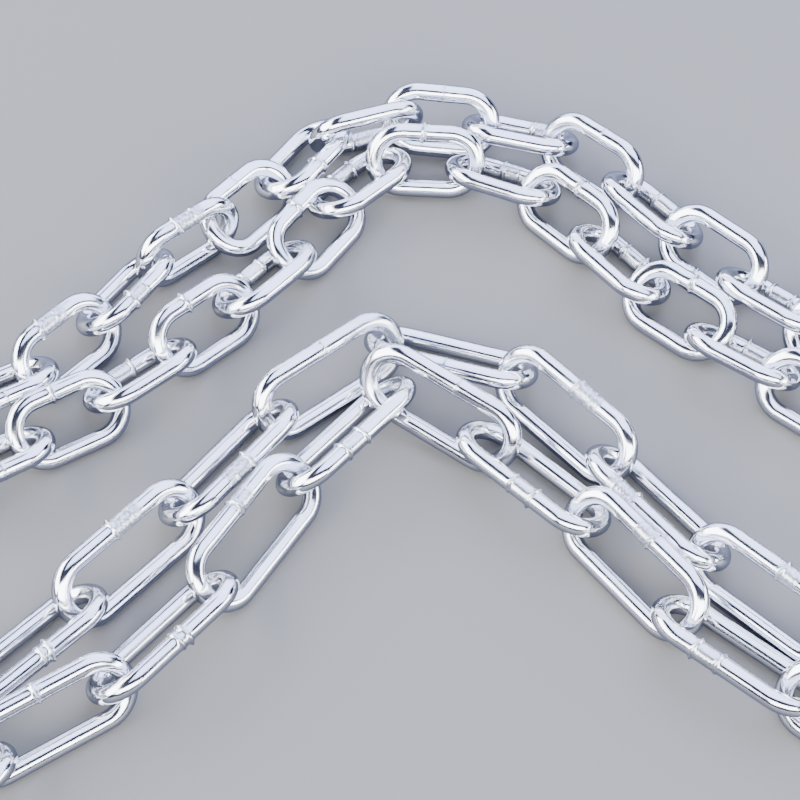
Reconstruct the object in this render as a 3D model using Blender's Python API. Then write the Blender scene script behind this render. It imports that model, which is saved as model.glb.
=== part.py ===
"""Heap of steel chain: two lengths of long-link chain and two of short-link chain, laid out in two pairs.

Each link is one closed loop of wire. It lies on its lower leg and leans to the far side or to the near side in
turn, against the link before it. Here and there one end of a link is propped up by its neighbour. The floor is
at Z = 0.
"""

import itertools
import math

import bpy
import numpy as np

MM = 0.001

# The wire and the links, all in mm.
WIRE = 4.0
LINK_WIDTH = 17.4
LONG_OPENING = 31.5
SHORT_OPENING = 20.2
WELD_SWELL = 1.05
WELD_HALF_LENGTH = 1.6

# The gap that stands in for the contact between two wires, in mm.
LEAST_GAP = 0.40
MOST_GAP = 0.50

# How finely each link is faceted, and the step in which its centre line is measured, in mm.
WIRE_SIDES = 8
CROWN_STEPS = 6
MEASURE_STEP = 0.8

# Where the links of each length lie, left to right: X and Y of the middle, in mm, the heading and the lean, in
# degrees. A lean of 0 is flat on the floor, 90 is upright, and one past 90 leans to the near side.
LONG_BACK = [(-97, -87, 42, 55), (-75, -65, 45, 146), (-56, -44.5, 46, 56), (-36.5, -21, 49, 141),
             (-15, 1, 36, 58), (11.5, 7.5, -17, 145), (35.5, -9.5, -48, 54), (54, -31.5, -51, 141),
             (74.5, -54.5, -42, 57), (97.5, -74, -42, 145)]
LONG_FRONT = [(-91.5, -99.5, 38, 143), (-69.5, -82.5, 32, 58), (-48, -63, 48, 138), (-30.5, -38.5, 57, 42),
              (-11.5, -14, 48, 134), (8, -8, -35, 58), (28.5, -24, -44, 146), (48.5, -46, -51, 49),
              (68, -66.5, -38, 149), (91, -85, -40, 50)]
SHORT_BACK = [(-120, -21, 32, 145), (-104, -11, 30, 50), (-88, -1.5, 27, 148), (-74.5, 8, 45, 52),
              (-62.5, 24, 52, 143), (-48.5, 37.5, 37, 84), (-34.5, 50.5, 48, 32), (-23.5, 65, 55, 152),
              (-8, 74, 22, 109), (10.5, 75, -9, 67), (29.5, 73, -13, 150), (46, 63, -41, 60),
              (58.5, 49.5, -47, 149), (71.5, 35, -41, 48), (83.5, 23, -36, 142), (97.5, 9.5, -38, 50),
              (112, -3, -40, 145)]
SHORT_FRONT = [(-118.5, -39, 32, 145), (-102.5, -29.5, 29, 50), (-87, -20, 30, 147), (-72, -9.5, 29, 38),
               (-57, 2.5, 39, 144), (-43.5, 15, 40, 48), (-30.5, 30, 47, 147), (-20, 44.5, 56, 32),
               (-9.5, 59, 43, 152), (5.5, 63, -2, 57), (24.5, 59.5, -23, 150), (38.5, 47.5, -46, 48),
               (50, 34, -50, 147), (62.5, 21, -40, 30), (75.5, 7.5, -33, 140), (90, -5, -37, 50),
               (104.5, -18, -43, 145)]

# For each length: its name, the places of its links and their opening.
LENGTHS = [
    ("long_back", LONG_BACK, LONG_OPENING),
    ("long_front", LONG_FRONT, LONG_OPENING),
    ("short_back", SHORT_BACK, SHORT_OPENING),
    ("short_front", SHORT_FRONT, SHORT_OPENING),
]

# How the links settle: how many rounds, for how many of them each link is drawn back to its place and how far, how
# far apart two middles may be for their wires to be near, in mm, how freely a link moves along X and Y, turns,
# leans, pitches and rises, and the small change by which its motion is measured.
ROUNDS = 260
DRAW_ROUNDS = 160
DRAW = 0.04
NEAR = 45.0
FREEDOM = np.array([1.0, 1.0, math.radians(3.5)**2, math.radians(6.0)**2, math.radians(3.0)**2, 0.25])
SMALL = 1e-4

RADIUS = WIRE / 2
CROWN_RADIUS = (LINK_WIDTH - WIRE) / 2
UP = np.array([0.0, 0.0, 1.0])


def link_path(opening):
    """The centre line of a link in its own plane, as (points, outward directions), going round once."""
    half = opening / 2 - (CROWN_RADIUS - RADIUS)
    turn = np.linspace(-math.pi / 2, math.pi / 2, CROWN_STEPS + 1)
    outward = np.column_stack([np.cos(turn), np.sin(turn)])
    right = CROWN_RADIUS * outward + [half, 0]
    return np.vstack([right, -right]), np.vstack([outward, -outward])


def measured_path(opening):
    """Points at even steps round the faceted centre line of a link, in its own plane."""
    corners, _ = link_path(opening)
    corners = np.vstack([corners, corners[:1]])
    lengths = np.linalg.norm(np.diff(corners, axis=0), axis=1)
    at = np.concatenate([[0.0], np.cumsum(lengths)])
    steps = np.arange(0.0, at[-1], MEASURE_STEP)
    return np.column_stack([np.interp(steps, at, corners[:, i]) for i in range(2)])


class LaidLink:
    """One link as it lies: its middle and the directions of its length and width."""

    def __init__(self, place, opening):
        x, y, heading, lean = place
        self.opening = opening
        self.half = opening / 2 - (CROWN_RADIUS - RADIUS)
        self.path = measured_path(opening)
        self.place = np.array([x, y, math.radians(heading), math.radians(lean), 0.0, 0.0])
        self.lay(self.place)

    def frame(self, place):
        """Middle, length and width at this X, Y, heading, lean, pitch and lift off the floor."""
        x, y, heading, lean, pitch, lift = place
        level_run = math.cos(pitch)
        length = np.array([level_run * math.cos(heading), level_run * math.sin(heading), math.sin(pitch)])
        level = np.array([-math.sin(heading), math.cos(heading), 0.0])
        width = math.cos(lean) * level + math.sin(lean) * np.cross(length, level)
        height = self.half * abs(length[2]) + CROWN_RADIUS * math.hypot(length[2], width[2]) + RADIUS + lift
        return np.array([x, y, height]), length, width

    def lay(self, place):
        """Lays the link there, but never below the floor."""
        self.at = np.append(place[:5], max(place[5], 0.0))
        self.middle, self.length, self.width = self.frame(self.at)
        self.face = np.cross(self.length, self.width)
        self.line = self.placed(self.path)

    def placed(self, points):
        return self.middle + points[:, :1] * self.length + points[:, 1:2] * self.width

    def drift(self, i):
        """How point i of the centre line moves with each of the six numbers of the place."""
        moved = []
        for change in SMALL * np.eye(6):
            middle, length, width = self.frame(self.at + change)
            moved.append((middle + self.path[i, 0] * length + self.path[i, 1] * width - self.line[i]) / SMALL)
        return np.array(moved)


def nearest(a, b):
    """The gap between the wires of two links, and where on each centre line it is."""
    squares = (a.line**2).sum(axis=1)[:, None] + (b.line**2).sum(axis=1) - 2 * a.line @ b.line.T
    i, j = np.unravel_index(squares.argmin(), squares.shape)
    return math.sqrt(squares[i, j]) - WIRE, i, j


def ease(a, b, joined):
    """Pushes two links apart where their wires are too near, and together where joined links don't bear."""
    gap, i, j = nearest(a, b)
    if gap < LEAST_GAP:
        change = LEAST_GAP - gap
    elif joined and gap > MOST_GAP:
        change = MOST_GAP - gap
    else:
        return
    apart = a.line[i] - b.line[j]
    apart /= np.linalg.norm(apart)
    pull_a, pull_b = a.drift(i) @ apart, -b.drift(j) @ apart
    share = change / (FREEDOM @ pull_a**2 + FREEDOM @ pull_b**2)
    a.lay(a.at + share * FREEDOM * pull_a)
    b.lay(b.at + share * FREEDOM * pull_b)


def settled_links():
    """All links by name. They start at their places and ease one another until every gap is right."""
    links, pairs = {}, []
    for length, places, opening in LENGTHS:
        for number, place in enumerate(places, 1):
            links[f"{length}_link_{number:02d}"] = LaidLink(place, opening)
    names = list(links)
    for m, n in itertools.combinations(range(len(names)), 2):
        a, b = links[names[m]], links[names[n]]
        if np.linalg.norm(a.middle - b.middle) < NEAR:
            pairs.append((a, b, n == m + 1 and names[m][:-2] == names[n][:-2]))
    for step in range(ROUNDS):
        for a, b, joined in pairs:
            ease(a, b, joined)
        if step < DRAW_ROUNDS:
            for link in links.values():
                link.lay(link.at + DRAW * (link.place - link.at))
    return links


def link_rings(opening):
    """Centres, outward directions and wire scale of the rings of one link, with a weld swelling on one leg."""
    points, outward = link_path(opening)
    scale = np.ones(len(points))
    weld_x = np.array([WELD_HALF_LENGTH, 0.0, -WELD_HALF_LENGTH])
    weld = np.column_stack([weld_x, np.full(3, CROWN_RADIUS)])
    upward = np.tile([0.0, 1.0], (3, 1))
    at = CROWN_STEPS + 1
    points = np.vstack([points[:at], weld, points[at:]])
    outward = np.vstack([outward[:at], upward, outward[at:]])
    scale = np.concatenate([scale[:at], [1.0, WELD_SWELL, 1.0], scale[at:]])
    return points, outward, scale


def link_shape(laid):
    """Vertices in mm and faces of one link. One flat of its eight-sided wire faces the floor."""
    points, outward, scale = link_rings(laid.opening)
    corner = RADIUS * math.sqrt(math.pi / (WIRE_SIDES / 2 * math.sin(2 * math.pi / WIRE_SIDES)))
    flat_down = laid.at[3] - math.pi / 2
    turn = flat_down + (np.arange(WIRE_SIDES) + 0.5) * 2 * math.pi / WIRE_SIDES
    out = outward[:, :1] * laid.length + outward[:, 1:2] * laid.width
    ring = corner * (np.cos(turn)[None, :, None] * out[:, None, :] + np.sin(turn)[None, :, None] * laid.face)
    verts = (laid.placed(points)[:, None, :] + scale[:, None, None] * ring).reshape(-1, 3)
    rings = len(points)
    faces = []
    for i in range(rings):
        for j in range(WIRE_SIDES):
            k, m = (i + 1) % rings, (j + 1) % WIRE_SIDES
            faces.append((i * WIRE_SIDES + j, k * WIRE_SIDES + j, k * WIRE_SIDES + m, i * WIRE_SIDES + m))
    return verts, faces


def add_link(name, verts, faces, material):
    mesh = bpy.data.meshes.new(name)
    mesh.from_pydata((verts * MM).tolist(), [], faces)
    mesh.validate()
    mesh.materials.append(material)
    mesh.shade_smooth()
    bpy.context.collection.objects.link(bpy.data.objects.new(name, mesh))


def zinc_steel(name, colour, roughness):
    material = bpy.data.materials.new(name)
    material.use_nodes = True
    shader = material.node_tree.nodes["Principled BSDF"]
    shader.inputs["Base Color"].default_value = (*colour, 1.0)
    shader.inputs["Roughness"].default_value = roughness
    shader.inputs["Metallic"].default_value = 1.0
    return material


def main():
    for old in list(bpy.data.objects):
        bpy.data.objects.remove(old, do_unlink=True)
    shapes = {name: link_shape(link) for name, link in settled_links().items()}
    corners = np.vstack([verts for verts, _ in shapes.values()])
    low, high = corners.min(axis=0), corners.max(axis=0)
    origin = np.array([(low[0] + high[0]) / 2, (low[1] + high[1]) / 2, low[2]])
    material = zinc_steel("zinc_plated_steel", (0.78, 0.80, 0.83), 0.28)
    for name, (verts, faces) in shapes.items():
        add_link(name, verts - origin, faces, material)


main()
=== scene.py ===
"""Heap of steel chain, dressed: four lengths of bright zinc-plated welded chain laid on a pale floor.

Each packed link gives the place of one fine link: its middle, and the directions of its length, width and
face. The fine link is round wire carried round the link's centre line, with the marks of its butt weld in
the mesh. Lengths are in mm where a name or a comment says so, and in metres in the meshes.
"""

import logging
import math
from dataclasses import dataclass
from enum import Enum

import bpy
import numpy as np
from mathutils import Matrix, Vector


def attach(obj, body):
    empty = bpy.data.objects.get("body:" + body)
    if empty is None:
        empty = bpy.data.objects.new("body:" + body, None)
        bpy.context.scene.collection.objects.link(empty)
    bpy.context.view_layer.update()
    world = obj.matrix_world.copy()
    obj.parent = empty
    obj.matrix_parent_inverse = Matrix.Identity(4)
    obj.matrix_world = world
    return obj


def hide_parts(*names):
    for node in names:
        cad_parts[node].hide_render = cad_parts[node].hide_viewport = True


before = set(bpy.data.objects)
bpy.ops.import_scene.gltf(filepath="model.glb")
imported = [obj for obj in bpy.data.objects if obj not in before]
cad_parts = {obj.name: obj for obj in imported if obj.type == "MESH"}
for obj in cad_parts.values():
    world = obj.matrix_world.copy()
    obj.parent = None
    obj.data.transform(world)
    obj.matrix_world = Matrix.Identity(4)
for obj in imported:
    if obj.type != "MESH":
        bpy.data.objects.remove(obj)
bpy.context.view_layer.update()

MM = 0.001
BODY = "root"

log = logging.getLogger("chain")

Colour = tuple[float, float, float]


class Pattern(Enum):
    """The two link patterns, by the length of a link's opening in mm."""

    LONG = 31.5
    SHORT = 20.2


class Mark(Enum):
    """How the butt weld of a link shows."""

    SMOOTH = "a slight swelling"
    RING = "one narrow ring with two burrs that stick out of it"
    TWIN = "two such rings close together"
    COLLAR = "one low collar, frosted beside it"
    BLOCK = "a rough block between two ridges, where the clamps held the wire"
    FROSTED = "a long frosted stretch with small pits and burrs"


class Leg(Enum):
    """Which leg of a link its weld is on, as the sign of its width direction."""

    RAISED = 1
    LOW = -1


# The grain on a weld: how many waves make it up, and how far each may turn along the wire, in radians per mm.
GRAIN_WAVES = 9
GRAIN_PITCH = 8.0

# The crest of a ridge: how many times each wave goes round the wire, and its share of the ridge's height. The
# ridge wanders this far along the wire, in mm.
CREST_WAVES = ((2, 0.35), (5, 0.3))
RIDGE_DRIFT = 0.25

# The two burrs on a ridge: how wide each is round the wire, and how far from the top of the wire it may lie,
# in radians. They lie on either side of the top, and the smaller is this share of the larger.
BURR_WIDTH = 0.40
LARGE_BURR_AT = (0.4, 1.2)
SMALL_BURR_AT = (1.4, 2.2)
SMALL_BURR = 0.8

# The frosting of a weld: how soft its edge is, in mm, how frosted a ridge is, and how much wider than the
# ridge that frosting is.
FROST_EDGE = 0.25
RIDGE_FROST = 0.7
RIDGE_FROST_REACH = 1.7

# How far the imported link's weld stands off its wire, in mm.
WELD_PROUD = 0.1

# How far round the wire the floor keeps a low leg clear of burrs, in radians.
SOLE = 0.9

# How far from the end of a link, in mm, its neighbour has worn it.
BEARING_REACH = 2.4


@dataclass(frozen=True)
class Ridge:
    """A ridge of burr round the wire, in mm.

    Attributes:
        at: where it lies along the leg, from the middle of the weld.
        height: how far it stands off the wire.
        spread: how far it reaches along the wire, as a standard deviation.
        spike: how far the larger of its two burrs sticks out of it.
    """

    at: float
    height: float
    spread: float
    spike: float

    def relief(self, along: np.ndarray, turn: np.ndarray, dice: np.random.Generator) -> np.ndarray:
        """Height over the wire: a bell curve along the leg, times a crest that waves and has two burrs.

        Args:
            along: distance from the middle of the weld, in mm.
            turn: angle round the wire from its top, in radians.
            dice: the link's own seeded numbers.

        Returns:
            The height in mm at each point of the grid.
        """
        crest = np.ones_like(turn)
        for count, depth in CREST_WAVES:
            crest = crest + depth * np.cos(count * turn + dice.uniform(0, math.tau))
        side = dice.choice((-1.0, 1.0))
        large_at = side * dice.uniform(*LARGE_BURR_AT)
        small_at = -side * dice.uniform(*SMALL_BURR_AT)
        burrs = np.zeros_like(turn)
        for burr_at, size in ((large_at, 1.0), (small_at, SMALL_BURR)):
            away = np.angle(np.exp(1j * (turn - burr_at)))
            burrs = burrs + size * np.exp(-((away / BURR_WIDTH) ** 2))
        drift = RIDGE_DRIFT * np.cos(turn + dice.uniform(0, math.tau))
        bell = np.exp(-(((along - self.at - drift) / self.spread) ** 2) / 2)
        return bell * (self.height * crest + self.spike * burrs)


@dataclass(frozen=True)
class Weld:
    """The butt weld of a link, in mm.

    Attributes:
        swell: how much the wire's radius grows at the weld.
        swell_reach: how far that swelling reaches each way.
        ridges: the burr ridges on it.
        grain: the height of the rough grain left by the clamps.
        zone: how far the frosting reaches each way.
        frost: how frosted that zone is, from 0 to 1.
    """

    swell: float
    swell_reach: float
    ridges: tuple[Ridge, ...]
    grain: float
    zone: float
    frost: float

    def mask(self, along: np.ndarray) -> np.ndarray:
        """How frosted the wire is, from 0 to 1: the zone's frost with a soft edge, and more on each ridge.

        Args:
            along: distance from the middle of the weld, in mm.

        Returns:
            The frosting at each distance: the largest of one flat-topped curve and a bell over each ridge.
        """
        share = self.frost / (1 + np.exp((np.abs(along) - self.zone) / FROST_EDGE))
        for ridge in self.ridges:
            reach = RIDGE_FROST_REACH * ridge.spread
            share = np.maximum(share, RIDGE_FROST * np.exp(-(((along - ridge.at) / reach) ** 2)))
        return share

    def relief(self, along: np.ndarray, turn: np.ndarray, dice: np.random.Generator) -> np.ndarray:
        """Height over the plain wire: the swelling, the ridges, and grain that is a sum of crossing waves.

        Args:
            along: distance from the middle of the weld, in mm.
            turn: angle round the wire from its top, in radians.
            dice: the link's own seeded numbers.

        Returns:
            The height in mm at each point of the grid.
        """
        height = self.swell * np.exp(-((along / self.swell_reach) ** 2))
        for ridge in self.ridges:
            height = height + ridge.relief(along, turn, dice)
        waves = np.zeros_like(along * turn)
        for _ in range(GRAIN_WAVES):
            round_count = dice.integers(2, 9)
            pitch = dice.uniform(-GRAIN_PITCH, GRAIN_PITCH)
            waves = waves + np.cos(round_count * turn + pitch * along + dice.uniform(0, math.tau))
        return height + self.grain * self.mask(along) * waves / math.sqrt(GRAIN_WAVES)


WELDS = {
    Mark.SMOOTH: Weld(0.05, 1.8, (Ridge(0.2, 0.03, 0.20, 0.03),), 0.005, 0.8, 0.15),
    Mark.RING: Weld(0.08, 1.4, (Ridge(0.0, 0.26, 0.28, 0.55),), 0.01, 1.0, 0.4),
    Mark.TWIN: Weld(
        0.08, 1.8, (Ridge(-1.0, 0.22, 0.28, 0.40), Ridge(1.0, 0.28, 0.30, 0.45)), 0.01, 1.6, 0.4
    ),
    Mark.COLLAR: Weld(
        0.08, 2.6, (Ridge(-1.5, 0.28, 0.28, 0.40), Ridge(2.4, 0.05, 0.20, 0.10)), 0.02, 2.6, 0.7
    ),
    Mark.BLOCK: Weld(
        0.06, 3.2, (Ridge(-2.8, 0.26, 0.26, 0.35), Ridge(2.8, 0.24, 0.26, 0.30)), 0.015, 2.8, 0.4
    ),
    Mark.FROSTED: Weld(
        0.07, 3.6, (Ridge(-3.2, 0.26, 0.28, 0.35), Ridge(1.6, 0.10, 0.25, 0.20)), 0.03, 3.8, 0.9
    ),
}


@dataclass(frozen=True)
class Joint:
    """The weld of one link as it lies.

    Attributes:
        mark: how it shows.
        leg: the leg that it is on.
        shift: how far it lies to the right of the middle of that leg, in mm.
        turned: whether its higher ridge is at its right end. Otherwise it is at its left end.
    """

    mark: Mark = Mark.SMOOTH
    leg: Leg = Leg.RAISED
    shift: float = 0.0
    turned: bool = False


JOINTS = {
    "long_back_link_02": Joint(Mark.TWIN, shift=0.5),
    "long_back_link_03": Joint(Mark.FROSTED, shift=2.6),
    "long_back_link_04": Joint(Mark.FROSTED, shift=-2.4, turned=True),
    "long_back_link_05": Joint(Mark.SMOOTH, shift=0.5),
    "long_back_link_07": Joint(Mark.FROSTED, shift=3.0),
    "long_back_link_08": Joint(Mark.FROSTED, shift=-5.4, turned=True),
    "long_back_link_09": Joint(Mark.COLLAR, shift=2.3),
    "long_front_link_02": Joint(Mark.RING),
    "long_front_link_03": Joint(Mark.TWIN, shift=0.5),
    "long_front_link_04": Joint(Mark.COLLAR, shift=2.0),
    "long_front_link_05": Joint(Mark.BLOCK, shift=-2.9),
    "long_front_link_06": Joint(Mark.SMOOTH, shift=1.6),
    "long_front_link_07": Joint(Mark.BLOCK, shift=2.0),
    "long_front_link_08": Joint(Mark.COLLAR, shift=-1.1, turned=True),
    "long_front_link_09": Joint(Mark.BLOCK, shift=-3.5),
    "short_back_link_04": Joint(Mark.FROSTED, shift=-0.3),
    "short_back_link_05": Joint(Mark.COLLAR, shift=-1.2),
    "short_back_link_06": Joint(Mark.FROSTED, shift=1.0),
    "short_back_link_08": Joint(Mark.RING, shift=-1.7),
    "short_back_link_09": Joint(Mark.FROSTED, Leg.LOW),
    "short_back_link_11": Joint(Mark.COLLAR, Leg.LOW, 4.0),
    "short_back_link_13": Joint(Mark.BLOCK, Leg.LOW),
    "short_back_link_14": Joint(Mark.RING, Leg.LOW, -1.0),
    "short_back_link_15": Joint(Mark.BLOCK, Leg.LOW),
    "short_front_link_04": Joint(Mark.RING, shift=-1.1),
    "short_front_link_05": Joint(Mark.BLOCK, Leg.LOW, -2.0),
    "short_front_link_06": Joint(Mark.RING, shift=-1.5),
    "short_front_link_07": Joint(Mark.BLOCK, Leg.LOW, 1.0),
    "short_front_link_08": Joint(Mark.RING, shift=-0.4),
    "short_front_link_09": Joint(Mark.BLOCK, Leg.LOW),
    "short_front_link_10": Joint(Mark.RING, shift=-0.8),
    "short_front_link_11": Joint(Mark.COLLAR, Leg.LOW),
    "short_front_link_12": Joint(Mark.RING),
    "short_front_link_13": Joint(Mark.BLOCK, Leg.LOW, -0.5),
    "short_front_link_14": Joint(Mark.RING, shift=-0.5),
    "short_front_link_15": Joint(Mark.BLOCK, Leg.LOW, 1.5),
}


@dataclass(frozen=True)
class Wire:
    """The round wire of every link, in mm, and how finely it is drawn."""

    radius: float = 2.03
    crown_radius: float = 6.7
    bore_radius: float = 4.7
    sides: int = 36
    fine_step: float = 0.1
    fine_reach: float = 4.6
    plain_step: float = 1.2
    crown_steps: int = 26


WIRE = Wire()


@dataclass(frozen=True)
class Place:
    """Where one packed link lies: its middle in metres and three unit directions."""

    middle: np.ndarray
    length: np.ndarray
    width: np.ndarray
    face: np.ndarray

    @classmethod
    def of(cls, node: bpy.types.Object, leg: Leg) -> "Place":
        """Reads a packed link, whose points spread most along its length and least along its face.

        Args:
            node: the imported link, whose place is in its vertices.
            leg: the leg that carries the weld.

        Returns:
            The link's place, with its width pointing to the welded leg and its face pointing up.
        """
        points = np.empty(len(node.data.vertices) * 3)
        node.data.vertices.foreach_get("co", points)
        points = np.unique(points.reshape(-1, 3).round(7), axis=0)
        _, directions = np.linalg.eigh(np.cov((points - points.mean(axis=0)).T))
        face, width, _ = (axis if axis[2] > 0 else -axis for axis in directions.T)
        length = np.cross(width, face)
        axes = np.stack([length, width, face])
        along = points @ axes.T
        middle = (along.min(axis=0) + along.max(axis=0)) / 2
        middle[1] -= WELD_PROUD * MM / 2
        return cls(middle @ axes, leg.value * length, leg.value * width, face)


@dataclass
class ChainLink:
    """One link: round wire carried round a loop of two straight legs and two half-circle crowns."""

    name: str
    pattern: Pattern
    joint: Joint
    seed: int

    @property
    def weld(self) -> Weld:
        """The shape of this link's weld."""
        return WELDS[self.joint.mark]

    @property
    def straight(self) -> float:
        """Half the straight part of a leg, in mm."""
        return self.pattern.value / 2 - WIRE.bore_radius

    @property
    def half_loop(self) -> float:
        """Half the way round the centre line, in mm."""
        return 2 * self.straight + math.pi * WIRE.crown_radius

    def stations(self, weld_at: float) -> np.ndarray:
        """Distances round the loop from the middle of the welded leg: close at the weld, else wide.

        Args:
            weld_at: where the weld lies on that leg, in mm.

        Returns:
            The distances in mm, rising, each once.
        """
        crown_start, crown_end = self.straight, self.straight + math.pi * WIRE.crown_radius
        leg_steps = max(1, round(crown_start / WIRE.plain_step))
        leg = np.linspace(0, crown_start, leg_steps + 1)
        crown = np.linspace(crown_start, crown_end, WIRE.crown_steps + 1)
        other_leg = np.linspace(crown_end, self.half_loop, leg_steps + 1)
        one_way = np.concatenate([leg, crown, other_leg])
        wide = np.concatenate([-one_way, one_way[one_way < self.half_loop - WIRE.fine_step]])
        wide = wide[np.abs(wide - weld_at) > WIRE.fine_reach]
        fine_steps = round(2 * WIRE.fine_reach / WIRE.fine_step)
        fine = weld_at + np.linspace(-WIRE.fine_reach, WIRE.fine_reach, fine_steps + 1)
        return np.unique(np.concatenate([wide, fine]).round(6))

    def centre_line(self, along: np.ndarray) -> tuple[np.ndarray, np.ndarray]:
        """The loop in the link's own plane.

        Along a leg the point runs straight, then it turns half a circle about the end of the leg, then it
        runs back. The turn is the distance past the leg over the crown's radius, held between 0 and half a
        circle.

        Args:
            along: distances round the loop from the middle of the weld, in mm.

        Returns:
            Points and outward directions, as length and width, in mm.
        """
        way, far = np.sign(along), np.abs(along)
        turn = np.clip((far - self.straight) / WIRE.crown_radius, 0, math.pi)
        back = np.maximum(far - self.straight - math.pi * WIRE.crown_radius, 0)
        reach = np.minimum(far, self.straight) + WIRE.crown_radius * np.sin(turn) - back
        points = np.column_stack([way * reach, WIRE.crown_radius * np.cos(turn)])
        return points, np.column_stack([way * np.sin(turn), np.cos(turn)])

    def surface(self, place: Place) -> tuple[np.ndarray, dict[str, np.ndarray]]:
        """The wire's surface: a circle round each point of the centre line, raised by the weld's relief.

        Args:
            place: where the link lies.

        Returns:
            Points in metres on a grid of stations by sides, and what the material reads at each of them.
        """
        dice = np.random.default_rng(self.seed)
        rightward = math.copysign(1.0, place.length[0])
        weld_at = rightward * self.joint.shift
        along = self.stations(weld_at)[:, None]
        turn = np.linspace(0, math.tau, WIRE.sides, endpoint=False)[None, :]
        centre, outward = self.centre_line(along[:, 0])
        from_weld = rightward * (along - weld_at) * (-1 if self.joint.turned else 1)
        from_top = turn - math.atan2(place.face[2], place.width[2])
        proud = self.weld.relief(from_weld, from_top, dice)
        if self.joint.leg is Leg.LOW:
            # The floor keeps the underside clear: 1 less a bell curve about the wire's lowest line.
            from_floor = np.angle(-np.exp(1j * from_top))
            proud = proud * (1 - np.exp(-((from_floor / SOLE) ** 2)))
        radius = WIRE.radius + proud
        aside = (radius * np.cos(turn))[..., None] * outward[:, None, :]
        flat = centre[:, None, :] + aside
        rise = radius * np.sin(turn)
        points = (
            place.middle
            + MM * flat[..., :1] * place.length
            + MM * flat[..., 1:] * place.width
            + MM * rise[..., None] * place.face
        )
        loop = math.pi * along / self.half_loop
        grid = np.ones_like(along * turn)
        crown = np.exp(-(((np.abs(along) - self.half_loop / 2) / BEARING_REACH) ** 2))
        frosting = self.weld.mask(from_weld)
        marks = {
            "around": np.stack([grid * np.cos(turn), grid * np.sin(turn), grid * frosting], axis=-1),
            "along": np.stack([grid * np.cos(loop), grid * np.sin(loop), grid * self.seed], axis=-1),
            "bearing": crown * ((1 - np.cos(turn)) / 2) ** 2,
        }
        return points, marks

    def build(self, node: bpy.types.Object, finish: bpy.types.Material) -> bpy.types.Object:
        """Makes the link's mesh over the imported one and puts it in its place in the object.

        Args:
            node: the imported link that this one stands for.
            finish: the material.

        Returns:
            The new object.
        """
        points, marks = self.surface(Place.of(node, self.joint.leg))
        rings, sides = points.shape[:2]
        index = np.arange(rings * sides).reshape(rings, sides)
        ahead, beside = np.roll(index, -1, axis=0), np.roll(index, -1, axis=1)
        faces = np.stack([index, beside, np.roll(ahead, -1, axis=1), ahead], axis=-1).reshape(-1, 4)
        mesh = bpy.data.meshes.new(self.name)
        mesh.from_pydata(points.reshape(-1, 3).tolist(), [], faces.tolist())
        for name, values in marks.items():
            vector = values.ndim == 3
            layer = mesh.attributes.new(name, "FLOAT_VECTOR" if vector else "FLOAT", "POINT")
            layer.data.foreach_set("vector" if vector else "value", values.astype(np.float32).ravel())
        mesh.materials.append(finish)
        mesh.shade_smooth()
        piece = bpy.data.objects.new(self.name, mesh)
        bpy.context.scene.collection.objects.link(piece)
        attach(piece, BODY)
        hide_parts(node.name)
        return piece


@dataclass
class ChainLength:
    """One length of chain, whose packed links are named after it and numbered from 1, left to right."""

    name: str
    pattern: Pattern
    first_seed: int

    def links(self) -> list[ChainLink]:
        """The links of this length, each with its own weld.

        Returns:
            One link for each packed link of this length, left to right.
        """
        names = sorted(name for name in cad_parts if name.startswith(self.name))
        return [
            ChainLink(f"zinc_{name}", self.pattern, JOINTS.get(name, Joint()), self.first_seed + number)
            for number, name in enumerate(names)
        ]

    def dress(self, finish: bpy.types.Material) -> None:
        """Makes a fine link over each packed one.

        Args:
            finish: the material of every link.
        """
        for link in self.links():
            piece = link.build(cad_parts[link.name.removeprefix("zinc_")], finish)
            log.info("%s: %d faces", piece.name, len(piece.data.polygons))


class Signal:
    """A number in a material. Arithmetic on it adds Math nodes."""

    def __init__(self, graph: "Graph", socket: bpy.types.NodeSocket) -> None:
        """Wraps an output socket of a node in the graph."""
        self.graph = graph
        self.socket = socket

    def _math(self, operation: str, *values: object) -> "Signal":
        """The output of one Math node on these values."""
        inputs = dict(enumerate(values))
        return self.graph.output(self.graph.node("ShaderNodeMath", {"operation": operation}, inputs))

    def __add__(self, other: object) -> "Signal":
        """This plus the other."""
        return self._math("ADD", self, other)

    def __mul__(self, other: object) -> "Signal":
        """This times the other."""
        return self._math("MULTIPLY", self, other)

    __radd__ = __add__
    __rmul__ = __mul__

    def ramp(self, low: float, high: float) -> "Signal":
        """0 below low, 1 above high, and a smooth rise between them.

        Args:
            low: where the rise starts.
            high: where it ends.

        Returns:
            The new signal, from 0 to 1.
        """
        node = self.graph.node(
            "ShaderNodeMapRange",
            {"interpolation_type": "SMOOTHSTEP"},
            {"Value": self, "From Min": low, "From Max": high},
        )
        return self.graph.output(node)


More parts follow.
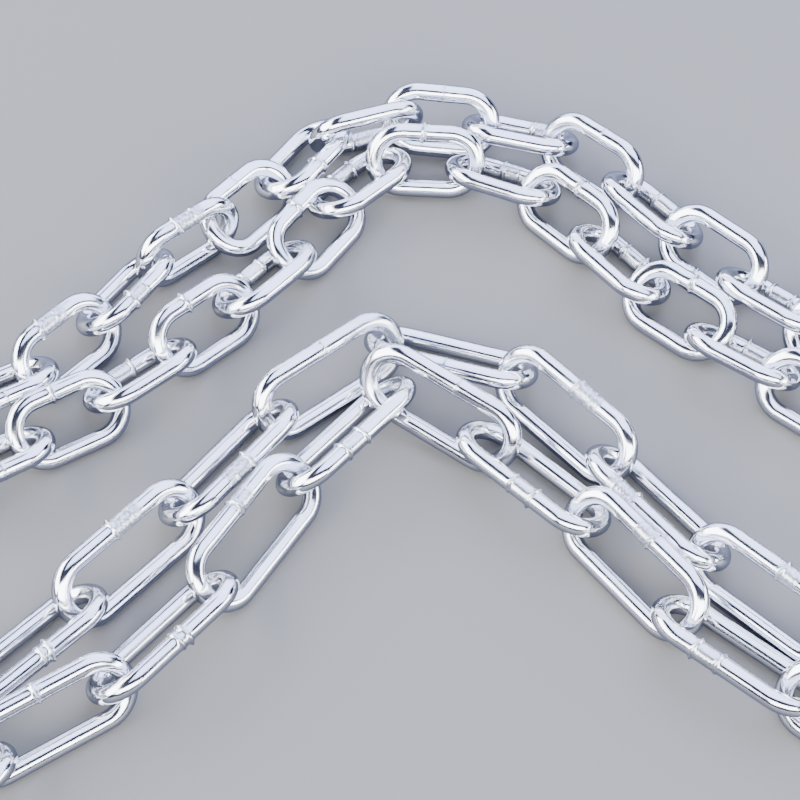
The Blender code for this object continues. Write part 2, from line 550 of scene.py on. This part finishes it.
class Graph:
    """The nodes of one material, or of the room."""

    def __init__(self, owner: bpy.types.Material | bpy.types.World, shader: str = "Principled BSDF") -> None:
        """Starts the nodes.

        Args:
            owner: the material or world.
            shader: the name of the shader node that it has from the start.
        """
        owner.use_nodes = True
        self.tree = owner.node_tree
        self.shader = self.tree.nodes[shader]

    def node(self, kind: str, settings: dict[str, object], inputs: dict[object, object]) -> bpy.types.Node:
        """Adds a node.

        Args:
            kind: the node's type.
            settings: what is set on the node itself, before its sockets.
            inputs: a value, a socket or a Signal for each input, by its name or number.

        Returns:
            The new node.
        """
        node = self.tree.nodes.new(kind)
        for name, value in settings.items():
            setattr(node, name, value)
        for key, value in inputs.items():
            self.feed(node.inputs[key], value)
        return node

    def feed(self, socket: bpy.types.NodeSocket, value: object) -> None:
        """Links a Signal or a socket to an input, or sets the input's value.

        Args:
            socket: the input.
            value: what it gets.
        """
        source = value.socket if isinstance(value, Signal) else value
        if isinstance(source, bpy.types.NodeSocket):
            self.tree.links.new(source, socket)
        else:
            socket.default_value = source

    def output(self, node: bpy.types.Node, name: object = 0) -> Signal:
        """An output of a node as a Signal."""
        return Signal(self, node.outputs[name])

    def attribute(self, name: str) -> list[Signal]:
        """The three numbers of a vector attribute of the mesh.

        Args:
            name: the attribute.

        Returns:
            A signal for each number.
        """
        source = self.node("ShaderNodeAttribute", {"attribute_name": name}, {})
        parts = self.node("ShaderNodeSeparateXYZ", {}, {0: source.outputs["Vector"]})
        return [self.output(parts, axis) for axis in "XYZ"]

    def mix(self, share: Signal, first: object, second: object) -> bpy.types.NodeSocket:
        """A colour between two colours.

        Args:
            share: how much of the second there is, from 0 to 1.
            first: a colour with its alpha, or a socket.
            second: the same.

        Returns:
            The socket of the mixed colour.
        """
        node = self.node("ShaderNodeMix", {"data_type": "RGBA"}, {"Factor": share})
        self.feed(node.inputs[6], first)
        self.feed(node.inputs[7], second)
        return node.outputs[2]

    def set(self, **values: object) -> None:
        """Sets or links inputs of the shader, with underscores for the spaces in their names."""
        for name, value in values.items():
            self.feed(self.shader.inputs[name.replace("_", " ")], value)


@dataclass(frozen=True)
class ZincPlate:
    """Bright zinc plating on drawn wire: streaked, frosted at the welds and duller where links bear.

    Attributes:
        bright: the colour of clean plating.
        grey: the colour of dull plating.
        frost: the colour of the frosting at a weld.
        pit_shade: the colour in the pits of the frosting, where its relief is low: painted shade in the pits.
        roughness: that of clean plating.
        line_circles: the noise's circles round the wire and round the link, for the fine lines of drawing.
        band_circles: the same for the broad bands of shade.
        lot: how far apart two links' streaks lie in the noise.
        patch_cells: how many dull patches go to the metre.
        speckle_cells: how many specks go to the metre.
        noise_roughness: how strong the finer parts of each noise are.
        relief: the strength and the depth in metres of the bump.
    """

    bright: Colour = (0.90, 0.91, 0.95)
    grey: Colour = (0.66, 0.69, 0.77)
    frost: Colour = (0.72, 0.73, 0.77)
    pit_shade: Colour = (0.28, 0.30, 0.35)
    roughness: float = 0.10
    line_circles: tuple[float, float] = (9.0, 1.6)
    band_circles: tuple[float, float] = (2.2, 1.2)
    lot: float = 9.7
    patch_cells: float = 55.0
    speckle_cells: float = 1500.0
    noise_roughness: float = 0.6
    relief: tuple[float, float] = (0.35, 0.00012)

    def streaks(self, graph: Graph, wide: float, long: float) -> Signal:
        """Noise drawn out along the wire, which closes on itself round the wire and round the link.

        The angle round the wire and the angle round the link are each a point on a circle, and those two
        circles make the four coordinates of the noise. A larger circle packs the streaks closer.

        Args:
            graph: the material.
            wide: radius of the circle that stands for the way round the wire.
            long: radius of the circle that stands for the way round the link.

        Returns:
            The noise, from 0 to 1.
        """
        cos_turn, sin_turn, _ = graph.attribute("around")
        cos_loop, sin_loop, seed = graph.attribute("along")
        round_link = cos_loop * long + seed * self.lot
        place = {0: cos_turn * wide, 1: sin_turn * wide, 2: round_link}
        point = graph.node("ShaderNodeCombineXYZ", {}, place)
        inputs = {"Vector": point.outputs[0], "W": sin_loop * long, "Scale": 1.0, "Detail": 3.0}
        inputs["Roughness"] = self.noise_roughness
        return graph.output(graph.node("ShaderNodeTexNoise", {"noise_dimensions": "4D"}, inputs), "Fac")

    def cloud(self, graph: Graph, cells: float) -> Signal:
        """Noise on the object's own coordinates.

        Args:
            graph: the material.
            cells: how many cells of the noise go to the metre.

        Returns:
            The noise, from 0 to 1.
        """
        place = graph.node("ShaderNodeTexCoord", {}, {})
        inputs = {"Vector": place.outputs["Object"], "Scale": cells, "Detail": 2.0}
        inputs["Roughness"] = self.noise_roughness
        return graph.output(graph.node("ShaderNodeTexNoise", {}, inputs), "Fac")

    def material(self) -> bpy.types.Material:
        """Builds the plating.

        Returns:
            Its material.
        """
        plating = bpy.data.materials.new("zinc plating")
        graph = Graph(plating)
        lines = self.streaks(graph, *self.line_circles)
        bands = self.streaks(graph, *self.band_circles)
        patches = self.cloud(graph, self.patch_cells).ramp(0.55, 0.72)
        speckle = self.cloud(graph, self.speckle_cells)
        weld = graph.attribute("around")[2]
        bearing = graph.output(graph.node("ShaderNodeAttribute", {"attribute_name": "bearing"}, {}), "Fac")
        dull = bands.ramp(0.42, 0.68) * 0.4 + patches * 0.25 + bearing * 0.4
        plate = graph.mix(dull, (*self.bright, 1.0), (*self.grey, 1.0))
        # The pits of the frosting, where its relief is low, get a darker colour: painted shade in the pits.
        frost = graph.mix(speckle.ramp(0.38, 0.62), (*self.pit_shade, 1.0), (*self.frost, 1.0))
        rough = self.roughness + lines * 0.06 + patches * 0.08 + bearing * 0.10 + weld * 0.24
        height = lines * 0.35 + bands * 0.3 + speckle * weld * 1.6 + speckle * patches * 0.4
        strength, depth = self.relief
        bump = graph.node("ShaderNodeBump", {}, {"Strength": strength, "Distance": depth, "Height": height})
        graph.set(
            Base_Color=graph.mix(weld * 0.8, plate, frost),
            Metallic=1.0,
            Roughness=rough,
            Normal=bump.outputs[0],
        )
        return plating


@dataclass(frozen=True)
class PaleFloor:
    """The pale floor that the chain is shown on, which is no part of it. Sizes are in metres.

    Attributes:
        colour: as the camera sees it.
        mirrored: as the plating mirrors it, darker, as the dark ground of the photograph shows there.
        half_side: half its side, which ends under the soft boxes.
        drop: how far it lies under the lowest wire.
    """

    colour: Colour = (0.17, 0.168, 0.162)
    mirrored: Colour = (0.035, 0.038, 0.055)
    half_side: float = 1.05
    drop: float = 0.0001

    def build(self) -> None:
        """Makes the floor as one square face."""
        paint = bpy.data.materials.new("pale floor")
        graph = Graph(paint)
        path = graph.node("ShaderNodeLightPath", {}, {})
        share = graph.output(path, "Is Glossy Ray")
        graph.set(Base_Color=graph.mix(share, (*self.colour, 1.0), (*self.mirrored, 1.0)), Roughness=0.55)
        side, level = self.half_side, -self.drop
        corners = [(-side, -side, level), (side, -side, level), (side, side, level), (-side, side, level)]
        mesh = bpy.data.meshes.new("floor")
        mesh.from_pydata(corners, [], [(0, 1, 2, 3)])
        mesh.materials.append(paint)
        floor = bpy.data.objects.new("floor", mesh)
        bpy.context.scene.collection.objects.link(floor)


@dataclass(frozen=True)
class SoftBox:
    """A large soft light, in metres, that faces a point."""

    name: str
    at: tuple[float, float, float]
    aim: tuple[float, float, float]
    wide: float
    high: float
    glow: float
    colour: Colour = (0.96, 0.97, 1.0)

    def build(self) -> None:
        """Hangs the light. Its power is pi times glow times area, so a larger box looks no duller."""
        light = bpy.data.lights.new(self.name, "AREA")
        light.shape = "RECTANGLE"
        light.size, light.size_y = self.wide, self.high
        light.energy = math.pi * self.glow * self.wide * self.high
        light.color = self.colour
        holder = bpy.data.objects.new(self.name, light)
        holder.location = self.at
        holder.rotation_euler = (Vector(self.aim) - Vector(self.at)).to_track_quat("-Z", "Y").to_euler()
        holder.visible_camera = False
        bpy.context.scene.collection.objects.link(holder)


@dataclass(frozen=True)
class PhotoCamera:
    """The camera of the photograph, over the near side of the heap, looking down and away."""

    at: tuple[float, float, float] = (0.00439, -0.26501, 0.40195)
    down: float = math.radians(55.0)
    focal_pixels: float = 2220.0
    image_pixels: float = 800.0

    def build(self) -> None:
        """Sets the scene's camera, with its lens worked out from the focal length in pixels."""
        lens = bpy.data.cameras.new("camera")
        lens.sensor_width = 36.0
        lens.lens = self.focal_pixels / self.image_pixels * lens.sensor_width
        lens.clip_start = 0.01
        camera = bpy.data.objects.new("camera", lens)
        camera.location = self.at
        camera.rotation_euler = (math.pi / 2 - self.down, 0.0, 0.0)
        bpy.context.scene.collection.objects.link(camera)
        bpy.context.scene.camera = camera


@dataclass(frozen=True)
class Studio:
    """A dark room with a pale floor and soft boxes round it.

    The boxes overhead and beyond the chain are one bright band on the upper half of every wire. Those on
    the left, the right and the near side are a second band below it, and the gap between them a thin dark
    line.

    Attributes:
        room: the room's light, as the plating mirrors it.
        seen: the room as the camera sees it.
        lavender: the colour of the boxes overhead and beyond the chain.
        boxes: the soft boxes.
    """

    room: Colour = (0.016, 0.020, 0.060)
    seen: Colour = (0.55, 0.56, 0.58)
    lavender: Colour = (0.62, 0.69, 1.0)
    boxes: tuple[SoftBox, ...] = (
        SoftBox("overhead box", (0.64, 0.44, 1.0), (0.64, 0.441, 0.0), 1.72, 1.32, 5.0, lavender),
        SoftBox("far box", (0.10, 1.32, 0.60), (0.10, 0.258, 0.04), 2.20, 0.98, 5.0, lavender),
        SoftBox("left box", (-1.03, 0.0, 0.66), (-0.158, 0.0, -0.011), 2.00, 0.78, 11.0),
        SoftBox("near box", (0.30, -1.02, 0.70), (0.30, -0.158, 0.018), 2.00, 0.66, 11.0),
        SoftBox("right box", (1.30, -0.35, 0.36), (0.0, -0.35, 0.36), 1.30, 0.42, 11.0),
    )

    def build(self) -> None:
        """Makes the floor, the lights, the room and the camera. Only the camera sees the room as pale."""
        PaleFloor().build()
        for box in self.boxes:
            box.build()
        world = bpy.data.worlds.new("room")
        graph = Graph(world, "Background")
        seen = graph.output(graph.node("ShaderNodeLightPath", {}, {}), "Is Camera Ray")
        graph.set(Color=graph.mix(seen, (*self.room, 1.0), (*self.seen, 1.0)))
        bpy.context.scene.world = world
        PhotoCamera().build()


LENGTHS = (
    ChainLength("long_back", Pattern.LONG, 100),
    ChainLength("long_front", Pattern.LONG, 200),
    ChainLength("short_back", Pattern.SHORT, 300),
    ChainLength("short_front", Pattern.SHORT, 400),
)


def main() -> None:
    """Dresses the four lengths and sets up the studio."""
    logging.basicConfig(level=logging.INFO, format="%(name)s %(message)s")
    finish = ZincPlate().material()
    for length in LENGTHS:
        length.dress(finish)
        log.info("%s dressed", length.name)
    Studio().build()


if __name__ == "__main__":
    main()
